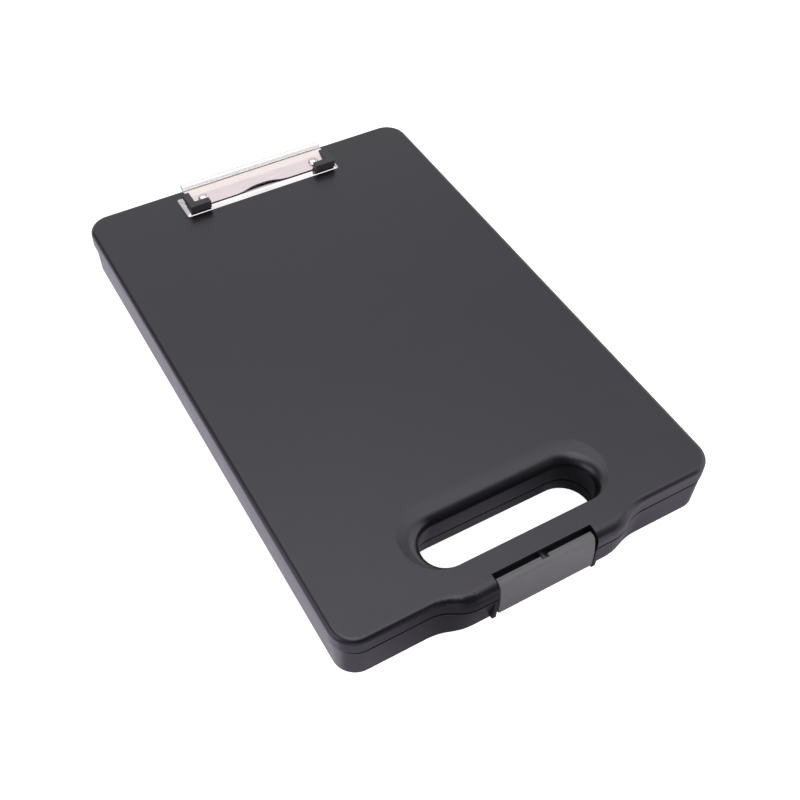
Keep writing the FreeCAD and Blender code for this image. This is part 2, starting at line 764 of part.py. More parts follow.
# Clip base: a shallow pressed pan with two lugs for the rod and two riveted cups
def pan_outline(inset, at_top):
    """Outline of the pan at its rim or at its top, moved in by the inset."""
    side = "size.plate_side_slope" if at_top else "0"
    end = "size.plate_end_slope" if at_top else "0"
    return rounded_rectangle(
        f"(size.plate_half_width - {side} - {inset})", f"(size.plate_near + {end} + {inset})",
        f"(size.plate_far - {end} - {inset})", f"(size.plate_corner - {inset})")


def make_clip_base_plate():
    body = new_body("clip_base_plate")
    foot = new_sketch(body, "pan_foot", "XY_Plane", LID_TOP)
    draw_loop(foot, pan_outline("0", False))
    top = new_sketch(body, "pan_top", "XY_Plane", PLATE_TOP)
    draw_loop(top, pan_outline("0", True))
    loft(body, "PartDesign::AdditiveLoft", "pan", foot, [top])
    inner_foot = new_sketch(body, "pan_inner_foot", "XY_Plane", LID_TOP)
    draw_loop(inner_foot, pan_outline("size.plate_wall", False))
    inner_top = new_sketch(body, "pan_inner_top", "XY_Plane", f"{PLATE_TOP} - size.plate_sheet")
    draw_loop(inner_top, pan_outline("size.plate_wall", True))
    loft(body, "PartDesign::SubtractiveLoft", "pan_inside", inner_foot, [inner_top])
    for name, side in SIDES.items():
        middle = signed(side, "size.rivet_spread")
        cup = new_sketch(body, f"cup_{name}", "XY_Plane", LID_TOP)
        draw_circle(cup, middle, "size.rod_reach", "size.cup_radius")
        pad(body, f"cup_{name}_pad", cup, "size.plate_rise")
        bowl = new_sketch(body, f"cup_bowl_{name}", "XY_Plane", f"{LID_TOP} + size.plate_sheet")
        draw_circle(bowl, middle, "size.rod_reach", "size.cup_radius - size.plate_sheet")
        cut(body, f"cup_bowl_{name}_cut", bowl, "size.plate_rise", turned=True)
        hole = new_sketch(body, f"cup_hole_{name}", "XY_Plane", LID_TOP)
        draw_circle(hole, middle, "size.rod_reach", "size.rivet_radius + size.seat_gap")
        cut(body, f"cup_hole_{name}_cut", hole, "size.plate_rise", turned=True)
        window = new_sketch(body, f"window_{name}", "XY_Plane", LID_TOP)
        ends = ("size.window_inner", "size.window_outer")
        left, right = ends if side > 0 else (f"-{ends[1]}", f"-{ends[0]}")
        draw_loop(window, rectangle(left, right, "size.window_near", "size.window_far"))
        cut(body, f"window_{name}_cut", window, "size.plate_rise + size.overrun", turned=True)
        lug = new_sketch(body, f"lug_{name}", "YZ_Plane",
                         f"{signed(side, 'size.lug_centre')} - size.lug_sheet / 2")
        draw_loop(lug, [
            (("size.rod_reach + size.lug_half", ROD_HEIGHT), ("size.rod_reach", ROD_HEIGHT, 1)),
            (("size.rod_reach - size.lug_half", ROD_HEIGHT), None),
            (("size.rod_reach - size.lug_half", f"{PLATE_TOP} - size.plate_sheet"), None),
            (("size.rod_reach + size.lug_half", f"{PLATE_TOP} - size.plate_sheet"), None),
        ])
        pad(body, f"lug_{name}_pad", lug, "size.lug_sheet")
    bore = new_sketch(body, "lug_bore", "YZ_Plane")
    draw_circle(bore, "size.rod_reach", ROD_HEIGHT, "size.rod_radius + size.seat_gap")
    cut(body, "lug_bore_cut", bore, "2 * size.plate_half_width", centred=True)
    return body


# Clip lever: a sheet with a rolled far edge, a scalloped jaw and two ears on the rod
def make_clip_lever():
    body = new_body("clip_lever")
    centre = ("size.roll_reach", f"({LID_TOP} + size.roll_lift)")
    inner = "(size.roll_radius - size.lever_sheet)"
    outer = "size.roll_radius"
    profile = new_sketch(body, "lever_profile", "YZ_Plane")
    draw_loop(profile, [
        (("size.lever_near", f"{JAW_BOTTOM} + size.lever_sheet"), None),
        (("size.lever_near", JAW_BOTTOM), None),
        ((LEVER_BEND, LEVER_BOTTOM), None),
        ((centre[0], f"{centre[1]} - {outer}"), (centre[0], centre[1], 1)),
        ((f"{centre[0]} - sqrt({outer} ^ 2 - size.roll_lap ^ 2)", f"{centre[1]} - size.roll_lap"), None),
        ((f"{centre[0]} - sqrt({inner} ^ 2 - size.roll_lap ^ 2)", f"{centre[1]} - size.roll_lap"),
         (centre[0], centre[1], -1)),
        ((centre[0], f"{centre[1]} - {inner}"), None),
        ((LEVER_BEND, LEVER_TOP), None),
    ])
    pad(body, "lever_sheet", profile, "2 * size.lever_half_width", centred=True)
    scallop = new_sketch(body, "lever_scallop", "XY_Plane", f"{JAW_BOTTOM} - size.overrun")
    edge = "(size.scallop_flat + size.scallop_run)"
    draw_loop(scallop, swelling(
        "size.lever_near", "(-size.scallop_depth)", "size.scallop_flat", "size.scallop_run", turn=-1) + [
        ((edge, "size.lever_near - size.overrun"), None),
        ((f"-{edge}", "size.lever_near - size.overrun"), None),
    ])
    cut(body, "lever_scallop_cut", scallop, f"{LEVER_TOP} - {JAW_BOTTOM} + 2 * size.overrun", turned=True)
    for name, side in SIDES.items():
        ear = new_sketch(body, f"lever_ear_{name}", "YZ_Plane",
                         f"{signed(side, 'size.lever_ear_centre')} - size.lever_sheet / 2")
        near = "size.rod_reach - size.lever_ear_half"
        far = "size.rod_reach + size.lever_ear_half"
        draw_loop(ear, [
            ((near, ROD_HEIGHT), ("size.rod_reach", ROD_HEIGHT, 1)),
            ((far, ROD_HEIGHT), None),
            ((far, f"{lever_height(far)} + size.lever_sheet / 2"), None),
            ((near, f"{lever_height(near)} + size.lever_sheet / 2"), None),
        ])
        pad(body, f"lever_ear_{name}_pad", ear, "size.lever_sheet")
    bore = new_sketch(body, "lever_bore", "YZ_Plane")
    draw_circle(bore, "size.rod_reach", ROD_HEIGHT, "size.rod_radius + size.running_gap")
    cut(body, "lever_bore_cut", bore, "2 * size.lever_half_width", centred=True)
    return body


# Corner grips: black caps pushed on the two near corners of the lever
def make_clip_grip(name, side):
    body = new_body(f"clip_grip_{name}")
    outline = new_sketch(body, f"grip_{name}_outline", "XY_Plane", f"{PLATE_TOP} + size.grip_clearance")
    corners = [
        ("size.grip_outer", "size.grip_near"),
        ("size.grip_outer", "size.grip_far"),
        ("size.grip_inner", "size.grip_far"),
        ("size.grip_inner", "size.grip_front"),
        ("size.grip_end", "size.grip_front"),
        ("size.grip_end", "size.grip_near"),
    ]
    draw_loop(outline, [((signed(side, across), along), None) for across, along in corners])
    top = f"{LEVER_TOP} + size.grip_cover"
    pad(body, f"grip_{name}_pad", outline, f"{top} - {PLATE_TOP} - size.grip_clearance")
    start = signed(side, "size.grip_end - size.overrun")
    slit = new_sketch(body, f"grip_{name}_slit", "YZ_Plane", start)
    near = "size.lever_near - size.seat_gap"
    far = "size.grip_far + size.overrun"
    draw_loop(slit, [
        ((near, f"{lever_height(near)} - size.seat_gap"), None),
        ((far, f"{lever_height(far)} - size.seat_gap"), None),
        ((far, f"{lever_height(far)} + size.lever_sheet + size.seat_gap"), None),
        ((near, f"{lever_height(near)} + size.lever_sheet + size.seat_gap"), None),
    ])
    cut(body, f"grip_{name}_slit_cut", slit,
        "size.lever_half_width + size.seat_gap - size.grip_end + size.overrun", turned=side > 0)
    relief = new_sketch(body, f"grip_{name}_relief", "XY_Plane", PLATE_TOP)
    ends = ("size.grip_end - size.overrun", "size.grip_outer + size.overrun")
    left, right = ends if side > 0 else (f"-({ends[1]})", f"-({ends[0]})")
    draw_loop(relief, rectangle(left, right, "size.grip_relief", "size.grip_far + size.overrun"))
    cut(body, f"grip_{name}_relief_cut", relief, "size.grip_relief_rise", turned=True)
    return body


# Springs: wire coils round the rod, with one leg up to the lever and one down to the lid
def make_clip_spring(name, side):
    body = new_body(f"clip_spring_{name}")
    start = "size.spring_inner" if side > 0 else "-size.spring_inner - size.spring_length"
    body.setExpression("Placement.Base.x", start)
    body.setExpression("Placement.Base.y", "size.rod_reach")
    body.setExpression("Placement.Base.z", ROD_HEIGHT)
    wire = new_sketch(body, f"spring_{name}_wire", "XY_Plane")
    draw_circle(wire, "0", "size.spring_coil", "size.spring_wire")
    coil = body.newObject("PartDesign::AdditiveHelix", f"spring_{name}_coil")
    coil.Profile = wire
    coil.ReferenceAxis = (wire, ["H_Axis"])
    coil.Mode = 0
    coil.setExpression("Pitch", "size.spring_pitch")
    coil.setExpression("Height", "size.spring_length")
    spring_top = f"({lever_height('size.rod_reach + size.spring_coil')} - size.seam_gap)"
    upper = new_sketch(body, f"spring_{name}_upper", "XY_Plane")
    draw_circle(upper, "0", "size.spring_coil", "size.spring_wire")
    pad(body, f"spring_{name}_upper_leg", upper, f"{spring_top} - {ROD_HEIGHT}")
    lower = new_sketch(body, f"spring_{name}_lower", "XY_Plane")
    draw_circle(lower, "size.spring_length", "size.spring_coil", "size.spring_wire")
    pad(body, f"spring_{name}_lower_leg", lower, f"{ROD_HEIGHT} - {LID_TOP} - size.seat_gap", turned=True)
    return body


# Rivets and washers that hold the clip on the lid
def make_round_piece(label, side, profile):
    """Turn a half profile round a vertical axis at a rivet's place."""
    body = new_body(label)
    body.setExpression("Placement.Base.x", signed(side, "size.rivet_spread"))
    body.setExpression("Placement.Base.y", "size.rod_reach")
    sketch = new_sketch(body, f"{label}_profile", "XZ_Plane")
    draw_loop(sketch, [(corner, None) for corner in profile])
    turned = body.newObject("PartDesign::Revolution", f"{label}_turned")
    turned.Profile = sketch
    turned.ReferenceAxis = (sketch, ["V_Axis"])
    turned.Angle = 360
    return body


SKIN_BOTTOM = f"({LID_TOP} - size.lid_skin)"
WASHER_BOTTOM = f"({SKIN_BOTTOM} - size.washer_sheet)"
HEAD_BOTTOM = f"({LID_TOP} + size.plate_sheet)"
TAIL_BOTTOM = f"({WASHER_BOTTOM} - size.rivet_tail_rise)"
RIVET_PROFILE = [
    ("0", TAIL_BOTTOM), ("size.rivet_tail", TAIL_BOTTOM),
    ("size.rivet_tail", WASHER_BOTTOM), ("size.rivet_radius", WASHER_BOTTOM),
    ("size.rivet_radius", HEAD_BOTTOM), ("size.rivet_head", HEAD_BOTTOM),
    ("size.rivet_head", f"{HEAD_BOTTOM} + size.rivet_head_rise"),
    ("0", f"{HEAD_BOTTOM} + size.rivet_head_rise"),
]
WASHER_PROFILE = [
    ("size.rivet_radius + size.seat_gap", WASHER_BOTTOM), ("size.washer_radius", WASHER_BOTTOM),
    ("size.washer_radius", SKIN_BOTTOM), ("size.rivet_radius + size.seat_gap", SKIN_BOTTOM),
]

parts.append(make_base_shell())
parts.append(make_lid_shell())
parts.append(make_latch_cover())
parts.append(rod_along_x(
    "latch_pin", "size.latch_pin_radius", "-size.latch_pin_end", "size.latch_pin_end",
    "-size.latch_pivot_reach", "size.latch_pivot_height"))
parts.append(make_clip_base_plate())
parts.append(make_clip_lever())
parts.append(rod_along_x(
    "clip_pivot_rod", "size.rod_radius", "-size.rod_end", "size.rod_end",
    "size.rod_reach", ROD_HEIGHT))
for name, side in SIDES.items():
    middle = signed(side, "size.hinge_spread")
    reach = "size.knuckle_half + size.knuckle_gap + size.knuckle_end"
    parts.append(rod_along_x(
        f"hinge_pin_{name}", "size.hinge_pin_radius", f"{middle} - ({reach})",
        f"{middle} + {reach}", HINGE_REACH, "size.base_rise"))
    parts.append(make_clip_grip(name, side))
    parts.append(make_clip_spring(name, side))
    parts.append(make_round_piece(f"clip_rivet_{name}", side, RIVET_PROFILE))
    parts.append(make_round_piece(f"clip_rivet_washer_{name}", side, WASHER_PROFILE))

# Check the whole document, then write each piece
doc.recompute()
for item in doc.Objects:
    if "Invalid" in item.State or "Error" in item.State:
        raise RuntimeError(f"{item.Name} did not build: {item.State}")
for piece in parts:
    shape = piece.Shape
    if shape.isNull() or not shape.isValid() or not shape.Solids:
        raise RuntimeError(f"{piece.Label} has no sound solid")
    box = shape.BoundBox
    print(f"{piece.Label}: {len(shape.Solids)} solid, {shape.Volume:.0f} mm3, "
          f"x {box.XMin:.2f} {box.XMax:.2f}, y {box.YMin:.2f} {box.YMax:.2f}, "
          f"z {box.ZMin:.2f} {box.ZMax:.2f}")
    shape.exportStep(f"parts/{piece.Label}.step")
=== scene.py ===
# %% [markdown]
# # A storage clipboard, dressed for its picture
# The object is a flat moulded case: a tray, a lid on a hinge at the far edge, a grey drop
# latch at the near edge, and a low steel paper clip on the lid. Every shape arrives from the
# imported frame, in metres, and this lesson gives each one its own edges and its own finish.

# %% Load the frame
import bpy
from math import radians
from mathutils import Matrix, Vector


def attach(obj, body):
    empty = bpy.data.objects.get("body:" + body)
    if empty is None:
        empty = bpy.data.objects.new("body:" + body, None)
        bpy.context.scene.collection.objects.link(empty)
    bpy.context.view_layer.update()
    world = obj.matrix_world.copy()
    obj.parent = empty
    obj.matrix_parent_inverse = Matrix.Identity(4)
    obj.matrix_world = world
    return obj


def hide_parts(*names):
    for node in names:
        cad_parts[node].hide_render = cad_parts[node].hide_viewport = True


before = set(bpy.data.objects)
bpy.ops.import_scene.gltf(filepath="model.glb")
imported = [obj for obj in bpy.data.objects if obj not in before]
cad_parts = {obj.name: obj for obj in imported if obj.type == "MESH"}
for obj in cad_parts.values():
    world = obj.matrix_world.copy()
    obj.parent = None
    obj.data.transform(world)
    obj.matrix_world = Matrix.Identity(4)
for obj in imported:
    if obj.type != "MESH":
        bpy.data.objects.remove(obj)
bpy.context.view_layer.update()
scene = bpy.context.scene

# %% [markdown]
# ## The camera
# A picture is matched by its lens first. The outline of the case gave a camera that stands
# about 70 cm away, to the left of the latch and high above it, with a very small tilt of the
# horizon. It could be placed by hand and nudged, but three angles and a place say exactly
# where it stands. Its three axes are written as the columns of a turn matrix.

# %% Place the camera
CAMERA_PLACE = (-0.2335, -0.4089, 0.5219)
CAMERA_ANGLES = {"azimuth": -31.93, "elevation": 49.55, "roll": 2.34}
SENSOR_WIDTH = 36.0
FOCAL_LENGTH = 49.46


def camera_axes(azimuth, elevation, roll):
    """Right, up and backward directions of a camera that looks at the object."""
    turn = Matrix.Rotation(radians(azimuth), 3, "Z") @ Matrix.Rotation(radians(90 - elevation), 3, "X")
    return turn @ Matrix.Rotation(radians(roll), 3, "Z")


axes = camera_axes(**CAMERA_ANGLES)
camera_data = bpy.data.cameras.new("photo_camera")
camera_data.sensor_width = SENSOR_WIDTH
camera_data.lens = FOCAL_LENGTH
camera_data.clip_start = 0.01
camera = bpy.data.objects.new("photo_camera", camera_data)
scene.collection.objects.link(camera)
camera.matrix_world = Matrix.Translation(CAMERA_PLACE) @ axes.to_4x4()
scene.camera = camera
print("camera looks along", [round(-value, 3) for value in axes.col[2]])

# %% [markdown]
# ## How a finish starts
# A finish is a little network: a pattern drives the colour, the roughness and the bump, and
# the numbers that are the same everywhere are set on the shader itself. All patterns are
# measured in metres on the object, so that a scale of 1000 gives grains of about 1 mm. An
# unwrapped image could do it too, but it would need a file and would smear on the walls.

# %% Helpers: start a finish, place a pattern
def start_finish(name, metal, rough):
    """A new finish with one principled shader."""
    finish = bpy.data.materials.new(name)
    finish.use_nodes = True
    shader = finish.node_tree.nodes["Principled BSDF"]
    shader.inputs["Metallic"].default_value = metal
    shader.inputs["Roughness"].default_value = rough
    return finish, shader


def place_pattern(finish, scale=(1, 1, 1)):
    """Object coordinates, stretched by a mapping."""
    nodes = finish.node_tree.nodes
    where = nodes.new("ShaderNodeTexCoord")
    mapping = nodes.new("ShaderNodeMapping")
    mapping.inputs["Scale"].default_value = scale
    finish.node_tree.links.new(where.outputs["Object"], mapping.inputs["Vector"])
    return mapping.outputs["Vector"]


def add_noise(finish, vector, scale, detail=3, rough=0.55):
    """A cloud pattern with grains of one over scale."""
    noise = finish.node_tree.nodes.new("ShaderNodeTexNoise")
    noise.inputs["Scale"].default_value = scale
    noise.inputs["Detail"].default_value = detail
    noise.inputs["Roughness"].default_value = rough
    finish.node_tree.links.new(vector, noise.inputs["Vector"])
    return noise.outputs["Fac"]


print("helpers:", start_finish.__name__, place_pattern.__name__, add_noise.__name__)

# %% [markdown]
# ## What a pattern drives
# A noise pattern lies mostly between 0.3 and 0.7. These helpers carry that range to numbers,
# to colours and to relief, and hold the result steady beyond it.

# %% Helpers: numbers, colours and relief from a pattern
PATTERN_LOW = 0.3
PATTERN_HIGH = 0.7


def spread(owner, value, low, high, start=PATTERN_LOW, end=PATTERN_HIGH):
    """Carry a value between start and end to a range of numbers, and hold it beyond them."""
    node = owner.node_tree.nodes.new("ShaderNodeMapRange")
    node.inputs["From Min"].default_value = start
    node.inputs["From Max"].default_value = end
    node.inputs["To Min"].default_value = low
    node.inputs["To Max"].default_value = high
    owner.node_tree.links.new(value, node.inputs["Value"])
    return node.outputs["Result"]


def tint(owner, value, dark, light):
    """Carry a pattern to a range of colours."""
    node = owner.node_tree.nodes.new("ShaderNodeValToRGB")
    node.color_ramp.elements[0].position = PATTERN_LOW
    node.color_ramp.elements[1].position = PATTERN_HIGH
    node.color_ramp.elements[0].color = (*dark, 1)
    node.color_ramp.elements[1].color = (*light, 1)
    owner.node_tree.links.new(value, node.inputs["Fac"])
    return node.outputs["Color"]


def add_bump(finish, shader, value, depth):
    """Turn a pattern into relief of a depth in metres."""
    node = finish.node_tree.nodes.new("ShaderNodeBump")
    node.inputs["Strength"].default_value = 1.0
    node.inputs["Distance"].default_value = depth
    finish.node_tree.links.new(value, node.inputs["Height"])
    finish.node_tree.links.new(node.outputs["Normal"], shader.inputs["Normal"])


print("patterns run from", PATTERN_LOW, "to", PATTERN_HIGH)

# %% [markdown]
# ## The case's plastic
# The two shells are moulded in charcoal plastic with a fine satin grain from the mould. Up
# close it is a field of tiny pits, and from afar it only spreads the light. Two patterns do
# this: a very fine grain for the relief, and slow clouds that vary colour and gloss a little,
# as handling does. A photograph of plastic would repeat and smear, and noise does not. The
# colour is nearly black and the mirror part a little violet, as on the real plastic.

# %% Finish: charcoal plastic
CHARCOAL_DARK = (0.0030, 0.0028, 0.0040)
CHARCOAL_LIGHT = (0.0039, 0.0037, 0.0051)
VIOLET_SHEEN = (0.92, 0.89, 1.0, 1)


def charcoal_plastic():
    finish, shader = start_finish("charcoal_plastic", metal=0.0, rough=0.3)
    links = finish.node_tree.links
    where = place_pattern(finish)
    clouds = add_noise(finish, where, scale=22, detail=3)
    links.new(tint(finish, clouds, CHARCOAL_DARK, CHARCOAL_LIGHT), shader.inputs["Base Color"])
    grain = add_noise(finish, where, scale=2600, detail=2, rough=0.5)
    wear = add_noise(finish, where, scale=75, detail=4)
    links.new(spread(finish, wear, low=0.29, high=0.335), shader.inputs["Roughness"])
    add_bump(finish, shader, grain, depth=0.00002)
    shader.inputs["IOR"].default_value = 1.6
    shader.inputs["Specular Tint"].default_value = VIOLET_SHEEN
    return finish


case_plastic = charcoal_plastic()
print("finish:", case_plastic.name)

# %% [markdown]
# ## The latch's plastic
# The latch is a lighter grey and its face is brushed along its length: short streaks, a few
# tenths of a millimetre high. An image of streaks would need unwrapping, while noise that is
# stretched along X needs nothing but the object's own coordinates.

# %% Finish: brushed grey plastic
LATCH_DARK = (0.088, 0.085, 0.092)
LATCH_LIGHT = (0.118, 0.114, 0.123)
LATCH_STREAKS = (60, 1600, 1600)


def brushed_grey():
    finish, shader = start_finish("brushed_grey", metal=0.0, rough=0.42)
    links = finish.node_tree.links
    streaks = add_noise(finish, place_pattern(finish, LATCH_STREAKS), scale=1, detail=4, rough=0.6)
    links.new(tint(finish, streaks, LATCH_DARK, LATCH_LIGHT), shader.inputs["Base Color"])
    links.new(spread(finish, streaks, low=0.44, high=0.58), shader.inputs["Roughness"])
    add_bump(finish, shader, streaks, depth=0.00003)
    return finish


latch_plastic = brushed_grey()
print("finish:", latch_plastic.name)

# %% [markdown]
# ## Nickel-plated sheet
# The clip is bright nickel-plated sheet, so nearly all that shows on it is the white room.
# The bosses and the pan are the most polished, and the lever is rolled sheet that spreads
# the light a little. One recipe with three tones and three roughnesses covers all of them.

# %% Finish: nickel sheet
SHEET_STREAKS = (90, 900, 900)
SHEET_RELIEF = 0.000004
ROUGH_CHANGE = 0.05


def nickel_sheet(name, dark, light, rough):
    """Plated sheet with faint stains and the fine lines of the rolling mill."""
    finish, shader = start_finish(name, metal=1.0, rough=rough)
    links = finish.node_tree.links
    stain = add_noise(finish, place_pattern(finish), scale=55, detail=3)
    links.new(tint(finish, stain, dark, light), shader.inputs["Base Color"])
    rolling = add_noise(finish, place_pattern(finish, SHEET_STREAKS), scale=1, detail=3)
    links.new(spread(finish, rolling, rough - ROUGH_CHANGE, rough + ROUGH_CHANGE),
              shader.inputs["Roughness"])
    add_bump(finish, shader, rolling, SHEET_RELIEF)
    return finish


nickel = nickel_sheet("nickel_sheet", (0.58, 0.55, 0.56), (0.66, 0.63, 0.64), rough=0.17)
lever_nickel = nickel_sheet("lever_nickel", (0.47, 0.415, 0.42), (0.49, 0.43, 0.465), rough=0.27)
boss_nickel = nickel_sheet("boss_nickel", (0.62, 0.59, 0.60), (0.70, 0.67, 0.68), rough=0.12)
print("finishes:", nickel.name, lever_nickel.name, boss_nickel.name)

# %% [markdown]
# ## Two bands on the lever
# The lever's upper slope is a little warmer, and the roll at its far edge is painted near white
# and made less metallic: a painted reflection of the bright room that the roll mirrors. The lever
# could be cut in three pieces for that, but a finish that changes along Y, in metres on the
# object, keeps it in one.

# %% Finish: bands along the lever
UPPER_SLOPE = {"tone": (0.56, 0.50, 0.49), "start": 0.1650, "end": 0.1662}
# The roll's near white tone is a painted reflection of the bright room that it mirrors.
ROLL_PAINTED_REFLECTION = {"tone": (0.90, 0.88, 0.87), "start": 0.1709, "end": 0.1718}
ROLL_METAL = 0.3


def blend(owner, share, low, high):
    """A number that goes from low to high as the share goes from nought to one."""
    return spread(owner, share, low, high, start=0.0, end=1.0)


def split_place(owner, kind):
    """The place on an object, or the direction in a room, and its three parts."""
    nodes = owner.node_tree.nodes
    where = nodes.new("ShaderNodeTexCoord")
    split = nodes.new("ShaderNodeSeparateXYZ")
    owner.node_tree.links.new(where.outputs[kind], split.inputs["Vector"])
    return where.outputs[kind], split.outputs


def mix_colour(finish, share, colour, tone):
    """A colour that turns into a plain tone as the share goes from nought to one."""
    mix = finish.node_tree.nodes.new("ShaderNodeMix")
    mix.data_type = "RGBA"
    # A mix node has inputs for every kind of data: sockets 6, 7 and output 2 are the colours.
    from_colour, to_colour, mixed = mix.inputs[6], mix.inputs[7], mix.outputs[2]
    finish.node_tree.links.new(share, mix.inputs["Factor"])
    finish.node_tree.links.new(colour, from_colour)
    to_colour.default_value = (*tone, 1)
    return mixed


def whiten_roll(finish):
    """Give the lever a warmer upper slope, and paint its rolled far edge near white, a painted
    reflection.
    """
    shader = finish.node_tree.nodes["Principled BSDF"]
    parts = split_place(finish, "Object")[1]
    colour = shader.inputs["Base Color"].links[0].from_socket
    for band in (UPPER_SLOPE, ROLL_PAINTED_REFLECTION):
        share = spread(finish, parts["Y"], 0.0, 1.0, band["start"], band["end"])
        colour = mix_colour(finish, share, colour, band["tone"])
    finish.node_tree.links.new(colour, shader.inputs["Base Color"])
    # The roll's share also lowers the metal, so that its painted white reflection shows as a plain
    # tone.
    finish.node_tree.links.new(blend(finish, share, 1.0, ROLL_METAL), shader.inputs["Metallic"])


whiten_roll(lever_nickel)
print("bands on:", lever_nickel.name)

# %% [markdown]
# ## Drawn wire
# Pins, rod, springs and rivets are drawn through a die, which leaves fine streaks along the
# wire and a duller shine than plating. They are small, so one recipe with three tones does.

# %% Finish: drawn wire
WIRE_STREAKS = (140, 1800, 1800)
WIRE_RELIEF = 0.000012
WIRE_SMOOTHER = 0.06
WIRE_ROUGHER = 0.08


def drawn_wire(name, dark, light, rough):
    """Steel with streaks along X, the way that all pins and rods of this object lie."""
    finish, shader = start_finish(name, metal=1.0, rough=rough)
    links = finish.node_tree.links
    streaks = add_noise(finish, place_pattern(finish, WIRE_STREAKS), scale=1, detail=3)
    links.new(tint(finish, streaks, dark, light), shader.inputs["Base Color"])
    links.new(spread(finish, streaks, rough - WIRE_SMOOTHER, rough + WIRE_ROUGHER),
              shader.inputs["Roughness"])
    add_bump(finish, shader, streaks, WIRE_RELIEF)
    return finish


wire = drawn_wire("steel_wire", (0.46, 0.46, 0.47), (0.60, 0.60, 0.61), rough=0.30)
spring_wire = drawn_wire("spring_wire", (0.28, 0.28, 0.30), (0.40, 0.40, 0.42), rough=0.34)
rivet_steel = drawn_wire("rivet_steel", (0.52, 0.52, 0.53), (0.66, 0.66, 0.67), rough=0.26)
print("finishes:", wire.name, spring_wire.name, rivet_steel.name)

# %% [markdown]
# ## Grip caps
# The caps on the lever's corners are black soft plastic. They are matte, and their grain is
# coarser than the case's, so that a thumb holds. Modelling the grain would cost thousands of
# faces for something a camera hardly sees, so it is relief in the finish.

# %% Finish: black grip
GRIP_DARK = (0.020, 0.0180, 0.0235)
GRIP_LIGHT = (0.028, 0.0250, 0.032)


def black_grip():
    finish, shader = start_finish("black_grip", metal=0.0, rough=0.43)
    links = finish.node_tree.links
    where = place_pattern(finish)
    clouds = add_noise(finish, where, scale=240, detail=3)
    links.new(tint(finish, clouds, GRIP_DARK, GRIP_LIGHT), shader.inputs["Base Color"])
    grain = add_noise(finish, where, scale=1700, detail=2)
    links.new(spread(finish, grain, low=0.36, high=0.5), shader.inputs["Roughness"])
    add_bump(finish, shader, grain, depth=0.00006)
    return finish


grip_rubber = black_grip()
print("finish:", grip_rubber.name)

# %% [markdown]
# ## A copy that can be modelled
# A node's own mesh is loose triangles and stays as it is. A piece that needs softer edges is
# a copy, whose points are merged and whose flat faces are joined before it is bevelled. Edit
# mode works on what is selected, so each helper starts by deselecting everything.

# %% Helpers: select and copy
MERGE_DISTANCE = 0.000002
FLAT_WITHIN = radians(0.6)


def select_only(piece):
    """Make one object the only selected and active one."""
    bpy.ops.object.select_all(action="DESELECT")
    piece.select_set(True)
    bpy.context.view_layer.objects.active = piece


def merged_copy(node, name):
    """A copy of a node with its points merged and its flat faces joined."""
    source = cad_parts[node]
    piece = bpy.data.objects.new(name, source.data.copy())
    scene.collection.objects.link(piece)
    piece.data.name = name
    select_only(piece)
    bpy.ops.object.mode_set(mode="EDIT")
    bpy.ops.mesh.select_all(action="SELECT")
    bpy.ops.mesh.remove_doubles(threshold=MERGE_DISTANCE)
    bpy.ops.mesh.dissolve_limited(angle_limit=FLAT_WITHIN)
    bpy.ops.object.mode_set(mode="OBJECT")
    return piece


print("points closer than", MERGE_DISTANCE, "m are merged")

# %% [markdown]
# ## Soft edges
# A bevel rounds each edge that is sharper than its limit, and is applied at once. The normals
# are then weighted by area, so that the flat faces stay flat and only the edges curve. A
# subdivision surface would soften too, but it would also pull the flat walls out of shape.

# %% Helper: soften
BEVEL_ABOVE = radians(32)
SMOOTH_BELOW = radians(30)
FULL_WEIGHT = 100


def soften(piece, width, segments=2):
    """Round the sharp edges of a piece a little, and shade it with its flat faces flat."""
    select_only(piece)
    bpy.ops.mesh.customdata_custom_splitnormals_clear()
    bevel = piece.modifiers.new("soft_edges", "BEVEL")
    bevel.width = width
    bevel.segments = segments
    bevel.limit_method = "ANGLE"
    bevel.angle_limit = BEVEL_ABOVE
    bevel.miter_outer = "MITER_ARC"
    bpy.ops.object.modifier_apply(modifier=bevel.name)
    bpy.ops.object.shade_smooth_by_angle(angle=SMOOTH_BELOW)
    even = piece.modifiers.new("flat_faces_first", "WEIGHTED_NORMAL")
    even.keep_sharp = True
    even.weight = FULL_WEIGHT
    bpy.ops.object.modifier_apply(modifier=even.name)


print("bevels start at edges above", round(BEVEL_ABOVE, 3), "radians")

# %% [markdown]
# ## Finish, body and node
# A new piece must say which body it rides on, which node it stands for and which finish it
# wears. One helper says it all, so that no piece forgets a part of it.

# %% Helpers: dress and settle
def dress(piece, finish):
    """Give a piece its finish, in its only slot."""
    piece.data.materials.clear()
    piece.data.materials.append(finish)


def settle(piece, body, nodes, slot, finish):
    """Finish, body and node of a piece, said in one place."""
    dress(piece, finish)
    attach(piece, body)
    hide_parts(*nodes)
    print(piece.name, "has", len(piece.data.polygons), "faces and rides on", body)


print("helpers:", dress.__name__, settle.__name__)

# %% [markdown]
# ## The two shells
# Real mouldings have no knife edges: each corner has the small radius of its mould. Fillets
# in the solid would do it too, but a bevel on a merged copy is quick and takes in each edge.
# It gives the thin bright lines that light draws along the seam between lid and tray.

# %% Shells with moulded edges
SHELL_EDGE = 0.0002

base_shell = merged_copy("base_shell", "case_base")
soften(base_shell, SHELL_EDGE)
settle(base_shell, "base", ["base_shell"], "case_plastic", case_plastic)

lid_shell = merged_copy("lid_shell", "case_lid")
soften(lid_shell, SHELL_EDGE)
settle(lid_shell, "lid", ["lid_shell"], "case_plastic", case_plastic)

# %% [markdown]
# ## The latch
# The drop latch is one moulded plate that hooks over the lid. Its edges are broken a little
# more than the case's, because it is handled all day, and so they catch a soft line of light.

# %% Latch
LATCH_EDGE = 0.00025

latch = merged_copy("latch_cover", "latch_face")
soften(latch, LATCH_EDGE)
settle(latch, "latch", ["latch_cover"], "latch_plastic", latch_plastic)

